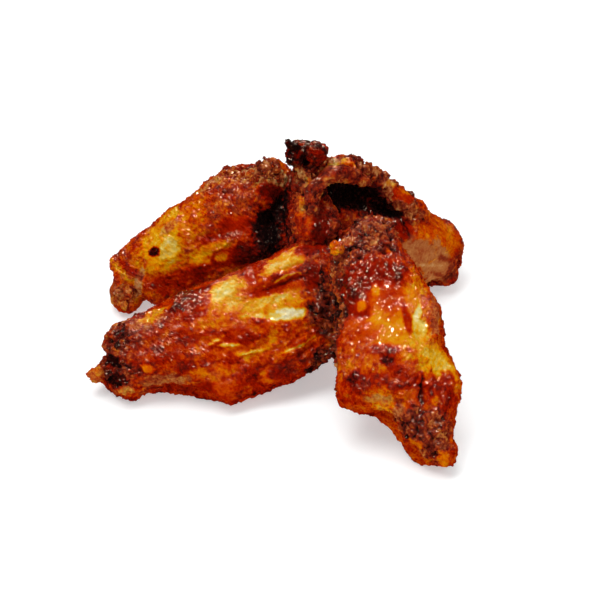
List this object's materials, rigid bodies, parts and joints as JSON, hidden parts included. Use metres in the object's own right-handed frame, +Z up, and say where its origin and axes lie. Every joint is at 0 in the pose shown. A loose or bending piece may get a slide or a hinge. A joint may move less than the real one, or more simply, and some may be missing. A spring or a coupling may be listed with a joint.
{
  "type": "chicken wings serving",
  "caption": "Heap of glazed, baked chicken wing flats that stand on their floor ends and lean on one another, with crusty bone ends and a glossy skin.",
  "frame": {"origin": "middle of the heap's outline, on the surface that it stands on", "axes": "+Z up, +X to the right along the heap's longest side, +Y towards the back of the heap"},
  "size_m": [0.136, 0.1202, 0.0765],
  "materials": {
    "glaze_front_left": "glazed chicken skin, orange-brown with yellow fat, glossy and blistered",
    "glaze_front_right": "glazed chicken skin, amber and deep red, glossy, with a crusty brown upper end",
    "glaze_back_left": "glazed chicken skin, yellow and orange turning dark red towards the middle of the heap",
    "glaze_back_right": "glazed chicken skin, dark brown crust with an orange floor end",
    "glaze_centre": "glazed chicken skin and a charred bone knob, dark brown with amber patches"
  },
  "bodies": {
    "root": {"wing_front_left": "glaze_front_left", "wing_front_right": "glaze_front_right", "wing_back_left": "glaze_back_left", "wing_back_right": "glaze_back_right", "wing_centre": "glaze_centre"}
  },
  "joints": []
}
